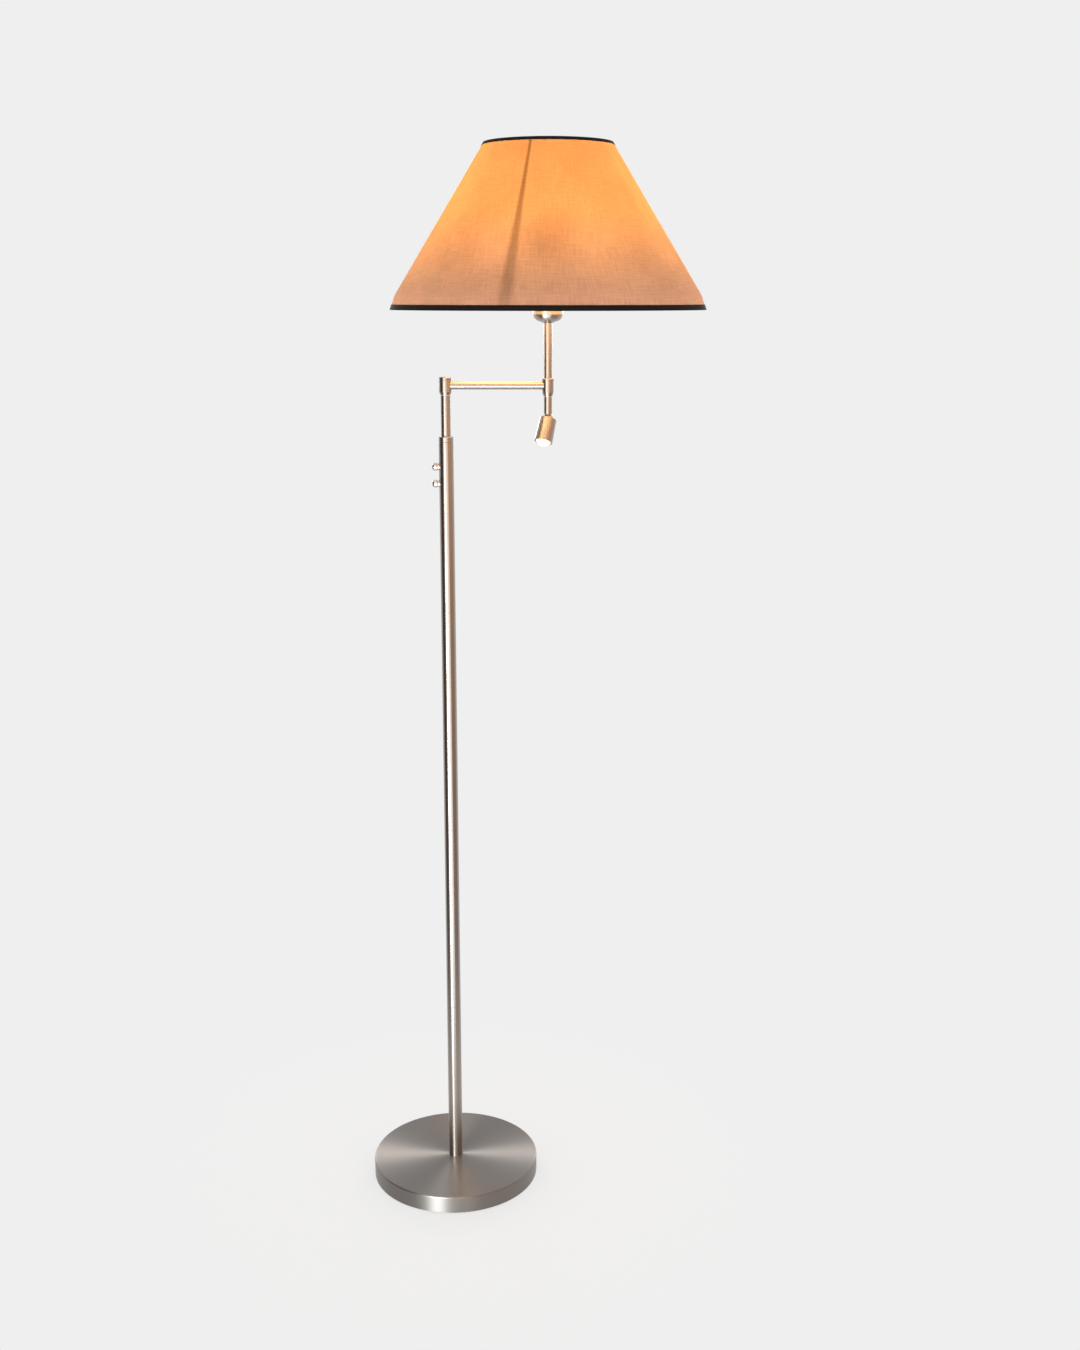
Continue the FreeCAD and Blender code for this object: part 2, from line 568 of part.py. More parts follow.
def make_head():
    bore = "spindle_diameter / 2 + slip_fit"
    keep(turned("lower_rod", sleeve("rod_diameter / 2", bore, "lower_rod_length"), x="arm_reach", z=LOWER_ROD_FOOT), "lower_rod")
    keep(turned("upper_rod", sleeve("rod_diameter / 2", bore, "upper_rod_length"), x="arm_reach", z=UPPER_ROD_FOOT), "upper_rod")
    washers("rod_washers", ("arm_reach", f"{ROD_HUB_FOOT} - friction_washer"), ("arm_reach", ROD_HUB_TOP), "rod_diameter / 2")
    hollow_spindle("rod_spindle", "arm_reach", f"{ROD_HUB_FOOT} - friction_washer - thread_depth / 2",
                   "rod_hub_height + 2 * friction_washer + 1.5 * thread_depth", -1)
    keep(turned("holder_nipple", sleeve("spindle_diameter / 2", "spindle_bore / 2", "nipple_length"), x="arm_reach",
                z=f"{CUP_FOOT} - nipple_length / 2"), "holder_nipple")

    wall = "cup_diameter / 2"
    keep(turned("socket_cup", [
        (bore, "0"),
        ("cup_neck / 2", "0"),
        ("cup_cone / 2", "cup_cone_rise", "cup_bend_radius"),
        (wall, "cup_bend_height"),
        (wall, "cup_height"),
        (f"{wall} - cup_sheet", "cup_height"),
        (f"{wall} - cup_sheet", "cup_bend_height", "-(cup_bend_radius - cup_sheet)"),
        ("cup_cone / 2 - cup_sheet / 3", "cup_cone_rise + cup_sheet"),
        ("cup_neck / 2", "cup_sheet"),
        (bore, "cup_sheet"),
    ], x="arm_reach", z=CUP_FOOT), "socket_cup")

    outer = "holder_diameter / 2"
    inner = "(holder_diameter / 2 - holder_wall)"
    keep(turned("lampholder_cap", [
        (bore, "0"),
        ("cup_neck / 2", "0"),
        (outer, "holder_cap_height * 0.62"),
        (outer, "holder_cap_height"),
        (inner, "holder_cap_height"),
        (inner, "holder_cap_height * 0.7"),
        ("cup_neck / 2", "holder_wall"),
        (bore, "holder_wall"),
    ], x="arm_reach", z=HOLDER_FOOT), "lampholder_cap")
    floor_level = "(holder_height - holder_cap_height - shell_height - holder_wall / 2)"
    keep(turned("lampholder_body", [
        ("0", floor_level),
        (inner, floor_level),
        (inner, "0"),
        (outer, "0"),
        (outer, "holder_height - holder_cap_height"),
        ("shell_diameter / 2 + slip_fit", "holder_height - holder_cap_height"),
        ("shell_diameter / 2 + slip_fit", f"{floor_level} + holder_wall / 2"),
        ("0", f"{floor_level} + holder_wall / 2"),
    ], x="arm_reach", z=f"{HOLDER_FOOT} + holder_cap_height"), "lampholder_body")
    keep(turned("lamp_screw_shell", sleeve("shell_diameter / 2", "shell_diameter / 2 - shell_wall", "shell_height - holder_wall / 2"),
                x="arm_reach", z=f"{BULB_FOOT} + slip_fit"), "lamp_screw_shell")
    keep(turned("centre_contact", sleeve("spindle_bore / 2", "0", "carrier_plate"), x="arm_reach", z=BULB_FOOT), "centre_contact")

    collar_bore = f"{outer} + slip_fit"
    level = f"({HOLDER_FOOT} + shade_nut_level)"
    for which, z in (("lower", level), ("upper", f"({CARRIER_LEVEL} + carrier_plate)")):
        shape = [
            (collar_bore, "0"),
            ("shade_nut_diameter / 2", "0"),
            ("shade_nut_diameter / 2", "shade_nut_height / 3"),
            (f"{outer} + holder_wall / 2", "shade_nut_height"),
            (collar_bore, "shade_nut_height"),
        ]
        if which == "lower":
            shape = [(radius, f"shade_nut_height - ({height})") for radius, height in reversed(shape)]
        keep(turned(f"shade_nut_{which}", shape, x="arm_reach", z=z), f"shade_nut_{which}")

    contact = "carrier_plate"
    cap = "bulb_cap_diameter / 2"
    keep(turned("bulb_cap", [
        ("0", contact),
        ("spindle_bore", contact),
        (cap, f"{contact} * 3"),
        (cap, "bulb_cap_height"),
        ("0", "bulb_cap_height"),
    ], x="arm_reach", z=BULB_FOOT), "bulb_cap")
    half = "(bulb_diameter / 2)"
    shoulder = "(bulb_neck / 2 + 3 * shell_wall)"
    swell = f"(bulb_height - {half} - sqrt({half}^2 - (0.92 * {half})^2))"
    hollow = f"({half} - bulb_wall)"
    inner_swell = f"(bulb_height - {half} - sqrt({hollow}^2 - (0.92 * {hollow})^2))"
    keep(turned("bulb_glass", [
        ("bulb_neck / 2 - bulb_wall", "0"),
        ("bulb_neck / 2", "0"),
        (shoulder, "holder_wall", "-bulb_diameter"),
        (f"0.92 * {half}", swell, half),
        ("0", "bulb_height"),
        ("0", "bulb_height - bulb_wall", f"-{hollow}"),
        (f"0.92 * {hollow}", inner_swell, "bulb_diameter + bulb_wall"),
        (f"{shoulder} - bulb_wall", "holder_wall"),
    ], x="arm_reach", z=f"{BULB_FOOT} + bulb_cap_height"), "bulb_glass")


# ---- shade -----------------------------------------------------------------------------------

def shade_wall(label, depth, thickness):
    """One layer of the laminated shade wall: the cone with its steeper last stretch, depth in from the outside."""
    low = "shade_bottom_diameter / 2"
    knee = "shade_knee_diameter / 2"
    top = "shade_top_diameter / 2"
    rest = "trim_thickness + glue_gap"
    finish = "shade_height - trim_thickness - glue_gap"
    inner = f"({depth} + {thickness})"
    low_edge = f"({low} - ({rest}) * {KNEE_SLOPE})"
    top_edge = f"({top} + ({rest}) * {CONE_SLOPE})"
    keep(turned(label, [
        (f"{low_edge} - {inner}", rest),
        (f"{low_edge} - {depth}", rest),
        (f"{knee} - {depth}", "shade_knee_height"),
        (f"{top_edge} - {depth}", finish),
        (f"{top_edge} - {inner}", finish),
        (f"{knee} - {inner}", "shade_knee_height"),
    ], x="arm_reach", z="shade_bottom"), label)


def make_shade():
    fabric_depth = "(trim_thickness + glue_gap)"
    liner_depth = f"({fabric_depth} + fabric_thickness + glue_gap)"
    wall_inside = f"({liner_depth} + liner_thickness)"
    shade_wall("shade_fabric", fabric_depth, "fabric_thickness")
    shade_wall("shade_liner", liner_depth, "liner_thickness")

    low = "shade_bottom_diameter / 2"
    top = "shade_top_diameter / 2"
    # each wire lies seat_gap inside the slanting wall and seat_gap off the fold of its tape
    wire_low = f"({low} - {wall_inside} - (trim_thickness + seat_gap + bottom_wire / 2) * {KNEE_SLOPE}"
    wire_low += f" - (bottom_wire / 2 + seat_gap) * sqrt(1 + {KNEE_SLOPE}^2))"
    wire_top = f"({top} - {wall_inside} + (trim_thickness + seat_gap + top_wire / 2) * {CONE_SLOPE}"
    wire_top += f" - (top_wire / 2 + seat_gap) * sqrt(1 + {CONE_SLOPE}^2))"
    for label, ring_radius, wire, level in (
        ("bottom_wire_ring", wire_low, "bottom_wire", "shade_bottom + trim_thickness + bottom_wire / 2 + seat_gap"),
        ("top_wire_ring", wire_top, "top_wire", "shade_bottom + shade_height - trim_thickness - top_wire / 2 - seat_gap"),
    ):
        torus = doc.addObject("Part::Torus", label)
        bind(torus, Radius1=ring_radius, Radius2=f"{wire} / 2")
        place(torus, "arm_reach", "0", level)
        keep(torus, label)

    # the black binding tapes: an outer strip, a fold under or over the wire, and a short inner strip
    strip = "bottom_trim_height"
    inner_lip = f"({wire_low} - bottom_wire / 2 - seat_gap)"
    keep(turned("bottom_trim", [
        (f"{inner_lip} - trim_thickness", "0"),
        (low, "0"),
        (f"{low} - {strip} * {KNEE_SLOPE}", strip),
        (f"{low} - trim_thickness - {strip} * {KNEE_SLOPE}", strip),
        (f"{low} - trim_thickness - trim_thickness * {KNEE_SLOPE}", "trim_thickness"),
        (inner_lip, "trim_thickness"),
        (inner_lip, "bottom_wire"),
        (f"{inner_lip} - trim_thickness", "bottom_wire"),
    ], x="arm_reach", z="shade_bottom"), "bottom_trim")
    strip = "top_trim_height"
    inner_lip = f"({wire_top} - top_wire / 2 - seat_gap)"
    keep(turned("top_trim", [
        (top, f"{strip}"),
        (f"{inner_lip} - trim_thickness", strip),
        (f"{inner_lip} - trim_thickness", "trim_thickness / 2"),
        (inner_lip, "trim_thickness / 2"),
        (inner_lip, f"{strip} - trim_thickness"),
        (f"{top} - trim_thickness + trim_thickness * {CONE_SLOPE}", f"{strip} - trim_thickness"),
        (f"{top} - trim_thickness + {strip} * {CONE_SLOPE}", "0"),
        (f"{top} + {strip} * {CONE_SLOPE}", "0"),
    ], x="arm_reach", z=f"shade_bottom + shade_height - {strip}"), "top_trim")

    # spider: a plate ring between the two shade nuts and three wires out to the bottom ring
    plate_radius = amount("holder_diameter / 2 + slip_fit + carrier_ring_width")
    plate_bore = amount("holder_diameter / 2 + slip_fit")
    plate_level = amount(CARRIER_LEVEL)
    reach = amount(f"{wire_low} - bottom_wire / 3")
    rim_level = amount("shade_bottom + trim_thickness + seat_gap + bottom_wire + spoke_diameter / 2")
    wire_radius = amount("spoke_diameter / 2")
    plate = Part.makeCylinder(plate_radius, amount("carrier_plate"), Vector(0, 0, plate_level))
    spider = plate.cut(Part.makeCylinder(plate_bore, amount("carrier_plate"), Vector(0, 0, plate_level)))
    inner_end = Vector(plate_radius - wire_radius, 0, plate_level + amount("carrier_plate") / 2)
    outer_end = Vector(reach, 0, rim_level)
    run = outer_end - inner_end
    for turn in (90, 210, 330):
        spoke = Part.makeCylinder(wire_radius, run.Length, inner_end, run)
        tip = Part.makeSphere(wire_radius, outer_end)
        arm = spoke.fuse(tip)
        arm.rotate(Vector(), Vector(0, 0, 1), turn)
        spider = spider.fuse(arm)
    carrier = doc.addObject("Part::Feature", "shade_carrier")
    carrier.Shape = spider.removeSplitter()
    place(carrier, "arm_reach")
    keep(carrier, "shade_carrier")


# ---- reading light ---------------------------------------------------------------------------

def make_spot():
    # the ball hangs on a stem in the lower rod and turns about the rod's axis
    radius = "(ball_diameter / 2)"
    bottom_flat = "(ball_diameter / 2 - sqrt((ball_diameter / 2)^2 - (spindle_bore / 2)^2))"
    neck_level = f"({radius} + sqrt({radius}^2 - (ball_neck / 2)^2))"
    rod_level = f"({radius} + ball_drop - friction_washer / 2)"
    keep(turned("spot_ball", [
        ("0", bottom_flat),
        ("spindle_bore / 2", bottom_flat, radius),
        ("ball_neck / 2", neck_level),
        ("ball_neck / 2", rod_level),
        ("spindle_diameter / 2 - running_fit", rod_level),
        ("spindle_diameter / 2 - running_fit", f"{rod_level} + ball_stem_length"),
        ("0", f"{rod_level} + ball_stem_length"),
    ], x="arm_reach", z=f"{BALL_LEVEL} - {radius}"), "spot_ball")

    # everything in the head stands on its own axis, mouth end at zero, and is then tilted about the ball's centre
    bearing = math.radians(amount("spot_bearing"))
    hinge = Vector(math.sin(bearing), -math.cos(bearing), 0)
    tilt = Rotation(hinge, amount("spot_tilt"))
    mouth = tilt.multVec(Vector(0, 0, -1))

    def in_head(name, points, lift="0"):
        piece = turned(name, points, turn=tilt)
        run = f"(spot_reach - ({lift}))"
        piece.setExpression("Placement.Base.x", linked(f"arm_reach + {mouth.x} * {run}"))
        piece.setExpression("Placement.Base.y", linked(f"{mouth.y} * {run}"))
        piece.setExpression("Placement.Base.z", linked(f"{BALL_LEVEL} + {mouth.z} * {run}"))
        return piece

    socket = f"({radius} + seat_gap)"
    rim = "(spot_reach + spot_rim_rise)"
    opening = f"sqrt({socket}^2 - spot_rim_rise^2)"
    back = "(spot_back_diameter / 2)"
    front = "(spot_mouth_diameter / 2)"
    chamber = "(spot_mouth_diameter / 2 - spot_wall)"
    housing = in_head("spot_housing_blank", [
        (chamber, "0"),
        (front, "0"),
        (back, "spot_reach + ball_diameter / 10"),
        (f"{back} - spot_wall * 1.7", f"{rim}"),
        (opening, rim, f"-{socket}"),
        (socket, "spot_reach"),
        (socket, f"spot_reach - {radius} - spot_wall"),
        (chamber, f"spot_reach - {radius} - spot_wall - spot_wall * 1.6"),
    ])
    screw_axis = tilt.multVec(Vector(math.cos(bearing), math.sin(bearing), 0))
    screw_turn = Rotation(Vector(0, 0, 1), screw_axis)
    centre = Vector(amount("arm_reach"), 0, amount(BALL_LEVEL))
    start = centre + screw_axis * amount(f"{socket} + slip_fit")
    hole = doc.addObject("Part::Cylinder", "spot_screw_hole")
    bind(hole, Radius="screw_diameter / 2 + slip_fit", Height="spot_back_diameter")
    hole.Placement = Placement(centre, screw_turn)
    keep(cut("spot_housing_cut", housing, hole), "spot_housing")
    grub = doc.addObject("Part::Cylinder", "spot_grub")
    bind(grub, Radius="screw_diameter / 2", Height=f"{back} - {socket}")
    grub.Placement = Placement(start, screw_turn)
    keep(grub, "spot_set_screw")

    seat_foot = f"(spot_reach - {radius} - spot_wall)"
    hollow = f"({radius} + slip_fit)"
    keep(in_head("spot_seat", [
        ("spindle_bore / 2", "0"),
        (f"{socket} - slip_fit", "0"),
        (f"{socket} - slip_fit", "seat_height"),
        (f"sqrt({hollow}^2 - ({radius} + spot_wall - seat_height)^2)", "seat_height", f"-{hollow}"),
        ("spindle_bore / 2", f"{radius} + spot_wall - sqrt({hollow}^2 - (spindle_bore / 2)^2)"),
    ], lift=seat_foot), "spot_seat")

    # stacked behind the mouth: retaining ring, lens, reflector, lamp board, heat sink
    fitted = f"({chamber} - slip_fit)"
    aperture = f"({chamber} - spot_wall)"
    proud = "(lens_rise + lens_ring_height)"
    dome = f"({aperture} - slip_fit)"
    keep(in_head("spot_lens_ring", [
        (aperture, "0"),
        (fitted, "0"),
        (fitted, "lens_ring_height"),
        (aperture, "lens_ring_height"),
    ]), "spot_lens_ring")
    keep(in_head("spot_lens", [
        ("0", "0", f"({dome}^2 + {proud}^2) / (2 * {proud})"),
        (dome, proud),
        (fitted, proud),
        (fitted, f"{proud} + lens_flange"),
        ("0", f"{proud} + lens_flange"),
    ], lift="0 - lens_rise"), "spot_lens")
    keep(in_head("spot_reflector", [
        (f"{fitted} - spot_wall", "0"),
        (fitted, "0"),
        (fitted, "spot_wall"),
        ("shaft_diameter", "reflector_depth"),
        ("shaft_diameter - spot_wall / 2", "reflector_depth"),
    ], lift="lens_ring_height + lens_flange"), "spot_reflector")
    board_foot = "(lens_ring_height + lens_flange + reflector_depth)"
    keep(in_head("led_board", sleeve(fitted, "0", "board_thickness"), lift=board_foot), "led_board")
    sink = f"({seat_foot} - {board_foot} - board_thickness)"
    core = "(shaft_diameter + spot_wall)"
    keep(in_head("heat_sink", [
        ("0", "0"),
        (fitted, "0"),
        (fitted, f"{sink} * 0.2"),
        (core, f"{sink} * 0.2"),
        (core, f"{sink} * 0.4"),
        (fitted, f"{sink} * 0.4"),
        (fitted, f"{sink} * 0.6"),
        (core, f"{sink} * 0.6"),
        (core, sink),
        ("0", sink),
    ], lift=f"{board_foot} + board_thickness"), "heat_sink")


def finish():
    doc.recompute()
    faults = [item.Name for item in doc.Objects if "Invalid" in item.State or "Error" in item.State]
    for label, item in nodes.items():
        if item.Shape.isNull() or not item.Shape.isValid() or not item.Shape.Solids:
            faults.append(label)
    if faults:
        raise RuntimeError(f"these are not sound: {sorted(set(faults))}")
    os.makedirs("parts", exist_ok=True)
    for label, item in nodes.items():
        item.Shape.exportStep(f"parts/{label}.step")
    print(f"{len(nodes)} sub-parts written")


make_base()
make_pole()
make_dimmer("upper", UPPER_DIMMER)
make_dimmer("lower", LOWER_DIMMER)
make_arm()
make_head()
make_shade()
make_spot()
finish()
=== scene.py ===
import bpy
import bmesh
import json
import math
from mathutils import Matrix, Vector


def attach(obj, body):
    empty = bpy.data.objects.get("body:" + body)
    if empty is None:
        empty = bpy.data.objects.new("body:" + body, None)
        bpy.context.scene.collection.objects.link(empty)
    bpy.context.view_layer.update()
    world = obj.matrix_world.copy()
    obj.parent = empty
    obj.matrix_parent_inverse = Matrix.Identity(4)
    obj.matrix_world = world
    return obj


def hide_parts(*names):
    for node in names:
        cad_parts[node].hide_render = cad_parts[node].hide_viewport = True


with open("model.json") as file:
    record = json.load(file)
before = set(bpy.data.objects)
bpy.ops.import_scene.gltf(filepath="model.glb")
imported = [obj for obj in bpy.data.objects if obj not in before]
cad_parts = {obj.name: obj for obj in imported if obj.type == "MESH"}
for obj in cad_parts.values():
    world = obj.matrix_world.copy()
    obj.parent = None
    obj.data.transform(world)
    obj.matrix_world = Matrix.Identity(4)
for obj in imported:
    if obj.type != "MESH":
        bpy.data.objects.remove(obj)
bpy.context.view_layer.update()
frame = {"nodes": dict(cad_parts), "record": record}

print("frame loaded:", len(frame["nodes"]), "nodes")


# small helpers

def mm(value):
    return value / 1000.0


def colour(hexText):
    # sRGB hex to linear
    parts = [int(hexText[i:i + 2], 16) / 255 for i in (0, 2, 4)]
    return [c / 12.92 if c <= 0.04045 else ((c + 0.055) / 1.055) ** 2.4 for c in parts] + [1.0]


def addNode(tree, kind, settings=None, inputs=None):
    # one node with its settings, and its inputs as plain values or links
    node = tree.nodes.new(kind)
    for name, value in (settings or {}).items():
        setattr(node, name, value)
    for name, value in (inputs or {}).items():
        if isinstance(value, bpy.types.NodeSocket):
            tree.links.new(value, node.inputs[name])
        else:
            node.inputs[name].default_value = value
    return node


def newMaterial(name):
    # an empty material with its output node and its tree
    material = bpy.data.materials.new(name)
    material.use_nodes = True
    tree = material.node_tree
    tree.nodes.clear()
    output = addNode(tree, "ShaderNodeOutputMaterial")
    return material, tree, output


def toObject(bm, name, materials):
    # bmesh to object, in its place at the origin
    mesh = bpy.data.meshes.new(name)
    bm.to_mesh(mesh)
    bm.free()
    piece = bpy.data.objects.new(name, mesh)
    bpy.context.scene.collection.objects.link(piece)
    for material in materials:
        mesh.materials.append(material)
    return piece


def finishPiece(bm, name, body, materials):
    # a smooth piece of the lamp, on the body that carries it
    piece = toObject(bm, name, materials)
    for face in piece.data.polygons:
        face.use_smooth = True
    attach(piece, body)
    return piece


def spinProfile(points, centre, steps):
    # a closed outline of (radius, height) in millimetres, spun round the upright axis at centre
    bm = bmesh.new()
    verts = [bm.verts.new((centre[0] + mm(r), centre[1], mm(z))) for r, z in points]
    edges = [bm.edges.new((verts[i], verts[(i + 1) % len(verts)])) for i in range(len(verts))]
    bmesh.ops.spin(bm, geom=verts + edges, cent=centre, axis=(0, 0, 1), angle=math.tau, steps=steps,
                   use_merge=True)
    bmesh.ops.remove_doubles(bm, verts=bm.verts, dist=1e-6)
    bmesh.ops.recalc_face_normals(bm, faces=bm.faces)
    return bm


def mottled(tree, hexText, low, high, factor):
    # one colour between a darker and a lighter share of itself, by a pattern
    base = colour(hexText)
    tint = addNode(tree, "ShaderNodeMix", {"data_type": "RGBA"})
    for socket, share in ((6, low), (7, high)):
        tint.inputs[socket].default_value = [c * share for c in base[:3]] + [1.0]
    tree.links.new(factor, tint.inputs[0])
    return tint


# metals

acrossMarks = 0.25            # of a turn: brushed metal draws its highlights out across the marks

satinNickelLook = {
    "colour": "a8a099",
    "roughness": 0.30,
    "anisotropy": 0.75,
    "roughnessSwing": (-0.05, 0.07),
    "brushSpacing": 0.35,     # mm between the brush marks
    "brushesPerMetre": 60,    # the same marks, counted along their length
    "brushDepth": 0.02,
    "mottle": 0.05,
    "mottlesPerMetre": 26.0,
}


def satinNickel(name, look, axis):
    # satin nickel plate on steel tube, brushed round the tube and lacquered:
    # sharp bright and dark stripes, drawn out along the tube
    material, tree, output = newMaterial(name)
    place = addNode(tree, "ShaderNodeTexCoord")
    spread = addNode(tree, "ShaderNodeMapping", inputs={
        "Vector": place.outputs["Object"],
        "Scale": (look["brushesPerMetre"], look["brushesPerMetre"], 1000 / look["brushSpacing"])})
    marks = addNode(tree, "ShaderNodeTexNoise", inputs={"Vector": spread.outputs["Vector"], "Scale": 1.0,
                                                       "Detail": 3.0, "Roughness": 0.6})
    cloud = addNode(tree, "ShaderNodeTexNoise", inputs={"Vector": place.outputs["Object"],
                                                       "Scale": look["mottlesPerMetre"], "Detail": 2.0})
    tint = mottled(tree, look["colour"], 1 - 2 * look["mottle"], 1.0, cloud.outputs["Fac"])
    sheen = addNode(tree, "ShaderNodeMapRange", inputs={
        "Value": marks.outputs["Fac"], "To Min": look["roughness"] + look["roughnessSwing"][0],
        "To Max": look["roughness"] + look["roughnessSwing"][1]})
    relief = addNode(tree, "ShaderNodeBump", inputs={"Height": marks.outputs["Fac"],
                                                    "Strength": look["brushDepth"], "Distance": mm(0.2)})
    around = addNode(tree, "ShaderNodeTangent", {"direction_type": "RADIAL", "axis": axis})
    shader = addNode(tree, "ShaderNodeBsdfPrincipled", inputs={
        "Base Color": tint.outputs[2], "Metallic": 1.0, "Roughness": sheen.outputs["Result"],
        "Anisotropic": look["anisotropy"], "Anisotropic Rotation": acrossMarks,
        "Normal": relief.outputs["Normal"], "Tangent": around.outputs["Tangent"]})
    tree.links.new(shader.outputs["BSDF"], output.inputs["Surface"])
    return material


turnedSteelLook = {
    "colour": "8c8783",
    "roughness": 0.42,
    "anisotropy": 0.85,
    "grooveSpacing": 1.6,     # mm; the real turning marks are finer, drawn this coarse to show
    "grooveDepth": 0.10,
    "darkest": 0.86,          # share of the colour in the darker clouds
    "cloudsPerMetre": 9.0,
}


def turnedSteel(name, look):
    # mild steel faced on a lathe and lacquered: fine rings round the pole, and bright fans across them
    material, tree, output = newMaterial(name)
    place = addNode(tree, "ShaderNodeTexCoord")
    rings = addNode(tree, "ShaderNodeTexWave", {"wave_type": "RINGS", "rings_direction": "Z"},
                    {"Vector": place.outputs["Object"], "Scale": 1000 / look["grooveSpacing"] / 20,
                     "Distortion": 0.6, "Detail": 2.0, "Detail Scale": 3.0})
    cloud = addNode(tree, "ShaderNodeTexNoise", inputs={"Vector": place.outputs["Object"],
                                                       "Scale": look["cloudsPerMetre"], "Detail": 3.0})
    tint = mottled(tree, look["colour"], look["darkest"], 1.0, cloud.outputs["Fac"])
    relief = addNode(tree, "ShaderNodeBump", inputs={"Height": rings.outputs["Fac"],
                                                    "Strength": look["grooveDepth"], "Distance": mm(0.3)})
    around = addNode(tree, "ShaderNodeTangent", {"direction_type": "RADIAL", "axis": "Z"})
    shader = addNode(tree, "ShaderNodeBsdfPrincipled", inputs={
        "Base Color": tint.outputs[2], "Metallic": 1.0, "Roughness": look["roughness"],
        "Anisotropic": look["anisotropy"], "Anisotropic Rotation": acrossMarks,
        "Normal": relief.outputs["Normal"], "Tangent": around.outputs["Tangent"]})
    tree.links.new(shader.outputs["BSDF"], output.inputs["Surface"])
    return material


plainLooks = {
    # name: hex colour, metallic, roughness, size of the grain in mm, relief of the grain
    "castIron": ("2a2a2b", 0.6, 0.72, 1.2, 0.5),              # sand cast: dark, dull and grainy
    "zincPlate": ("a9acae", 1.0, 0.38, 2.5, 0.06),            # bright zinc on steel: pale blue grey
    "machinedSteel": ("a5a19c", 1.0, 0.33, 0.5, 0.08),        # turned and left bare: even grey shine
    "chromePlate": ("d3d4d6", 1.0, 0.10, 6.0, 0.01),          # polished chrome: mirror bright
    "rolledAluminium": ("c9c8c5", 1.0, 0.30, 1.0, 0.05),      # rolled sheet: pale and satin
    "pressedBrass": ("c79a4c", 1.0, 0.28, 1.5, 0.05),         # pressed strip: yellow and bright
    "brightReflector": ("e6e4de", 1.0, 0.14, 3.0, 0.02),      # vacuum coated: near mirror
    "foamRubber": ("1c1b1a", 0.0, 0.85, 0.8, 0.4),            # closed cell foam: black and matt
    "blackRubber": ("191817", 0.0, 0.62, 1.0, 0.2),           # moulded rubber: black, slightly dull
    "bakelite": ("1d1a18", 0.0, 0.34, 4.0, 0.05),             # moulded phenolic: black with a soft gloss
    "naturalNylon": ("d9d3c4", 0.0, 0.45, 2.0, 0.04),         # moulded, undyed: milky
    "whiteAcetal": ("dedad0", 0.0, 0.40, 2.0, 0.04),          # turned rod: white and smooth
    "solderMask": ("e8e6df", 0.0, 0.42, 1.5, 0.05),           # printed lacquer: white, even
    "whitePowderCoat": ("cfc9bd", 0.0, 0.48, 0.6, 0.18),      # sprayed and baked: fine orange peel
}


def plainFinish(name, look):
    # a finish whose grain varies its colour, its gloss and its surface a little
    hexText, metallic, roughness, grain, relief = look
    material, tree, output = newMaterial(name)
    place = addNode(tree, "ShaderNodeTexCoord")
    noise = addNode(tree, "ShaderNodeTexNoise", inputs={"Vector": place.outputs["Object"],
                                                       "Scale": 1000 / grain / 2, "Detail": 3.0})
    tint = mottled(tree, hexText, 0.9, 1.0, noise.outputs["Fac"])
    rough = addNode(tree, "ShaderNodeMapRange", inputs={
        "Value": noise.outputs["Fac"], "To Min": roughness * 0.9, "To Max": min(1.0, roughness * 1.12)})
    bump = addNode(tree, "ShaderNodeBump", inputs={"Height": noise.outputs["Fac"], "Strength": relief,
                                                  "Distance": mm(grain) * 0.1})
    shader = addNode(tree, "ShaderNodeBsdfPrincipled", inputs={
        "Base Color": tint.outputs[2], "Metallic": metallic, "Roughness": rough.outputs["Result"],
        "Normal": bump.outputs["Normal"]})
    tree.links.new(shader.outputs["BSDF"], output.inputs["Surface"])
    return material


litGlassLooks = {
    # name: glass colour, glow colour, strength of the glow
    "opalGlass": ("f6efe2", "ffd9a0", 6.0),
    "frostedLens": ("fff4dc", "ffe2a0", 3.2),
}


def litGlass(name, look):
    # opal or frosted glass lit from inside: white, a little uneven, and glowing
    glass, glow, strength = look
    material, tree, output = newMaterial(name)
    place = addNode(tree, "ShaderNodeTexCoord")
    cloud = addNode(tree, "ShaderNodeTexNoise", inputs={"Vector": place.outputs["Object"], "Scale": 60.0,
                                                       "Detail": 2.0})
    bump = addNode(tree, "ShaderNodeBump", inputs={"Height": cloud.outputs["Fac"], "Strength": 0.03,
                                                  "Distance": mm(0.5)})
    shader = addNode(tree, "ShaderNodeBsdfPrincipled", inputs={
        "Base Color": colour(glass), "Roughness": 0.25, "Emission Color": colour(glow),
        "Emission Strength": strength, "Normal": bump.outputs["Normal"]})
    tree.links.new(shader.outputs["BSDF"], output.inputs["Surface"])
    return material


# the shade's film, cloth and tape

linerLook = {"colour": "f3e6d2", "through": "ffc98a", "soak": 0.25}   # soak: share of the light let through


def backingFilm(name, look):
    # translucent backing film, satin inside: pale, with the lamp's light soaking through it
    material, tree, output = newMaterial(name)
    place = addNode(tree, "ShaderNodeTexCoord")
    cloud = addNode(tree, "ShaderNodeTexNoise", inputs={"Vector": place.outputs["Object"], "Scale": 40.0,
                                                       "Detail": 3.0})
    bump = addNode(tree, "ShaderNodeBump", inputs={"Height": cloud.outputs["Fac"], "Strength": 0.05,
                                                  "Distance": mm(0.5)})
    face = addNode(tree, "ShaderNodeBsdfDiffuse", inputs={"Color": colour(look["colour"]), "Roughness": 0.3,
                                                         "Normal": bump.outputs["Normal"]})
    soak = addNode(tree, "ShaderNodeBsdfTranslucent", inputs={"Color": colour(look["through"]),
                                                             "Normal": bump.outputs["Normal"]})
    mix = addNode(tree, "ShaderNodeMixShader", inputs={0: look["soak"], 1: face.outputs[0],
                                                      2: soak.outputs[0]})
    tree.links.new(mix.outputs[0], output.inputs["Surface"])
    return material


